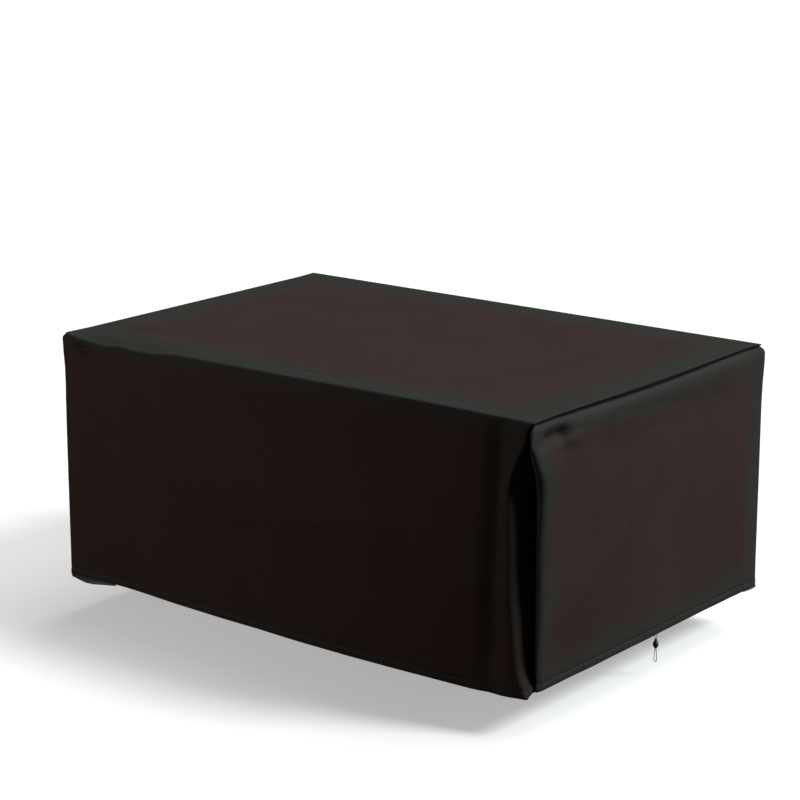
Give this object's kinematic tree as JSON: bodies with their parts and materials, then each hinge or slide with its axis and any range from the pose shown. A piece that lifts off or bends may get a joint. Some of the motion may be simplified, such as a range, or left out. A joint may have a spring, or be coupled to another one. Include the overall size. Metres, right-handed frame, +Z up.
{
  "type": "patio furniture cover",
  "caption": "Fitted rectangular cover for an outdoor dining set, open below, with deep corner folds, hemmed skirts and a draw cord with a lock.",
  "frame": {"origin": "underside of the top cloth, in the middle of the top, where what is covered carries it", "axes": "+X along the long side, -Y is the front, +Z up; the draw cord is on the +X end"},
  "size_m": [2.3057, 1.5858, 1.0997],
  "materials": {
    "cover_cloth": "coated polyester weave with a slight sheen",
    "draw_cord": "braided, matt",
    "lock_plastic": "satin moulded plastic"
  },
  "bodies": {
    "root": {"long_cloth": "cover_cloth", "end_cloth_right": "cover_cloth", "end_cloth_left": "cover_cloth", "draw_cord": "draw_cord", "lock_shell": "lock_plastic", "lock_button": "lock_plastic"}
  },
  "joints": []
}
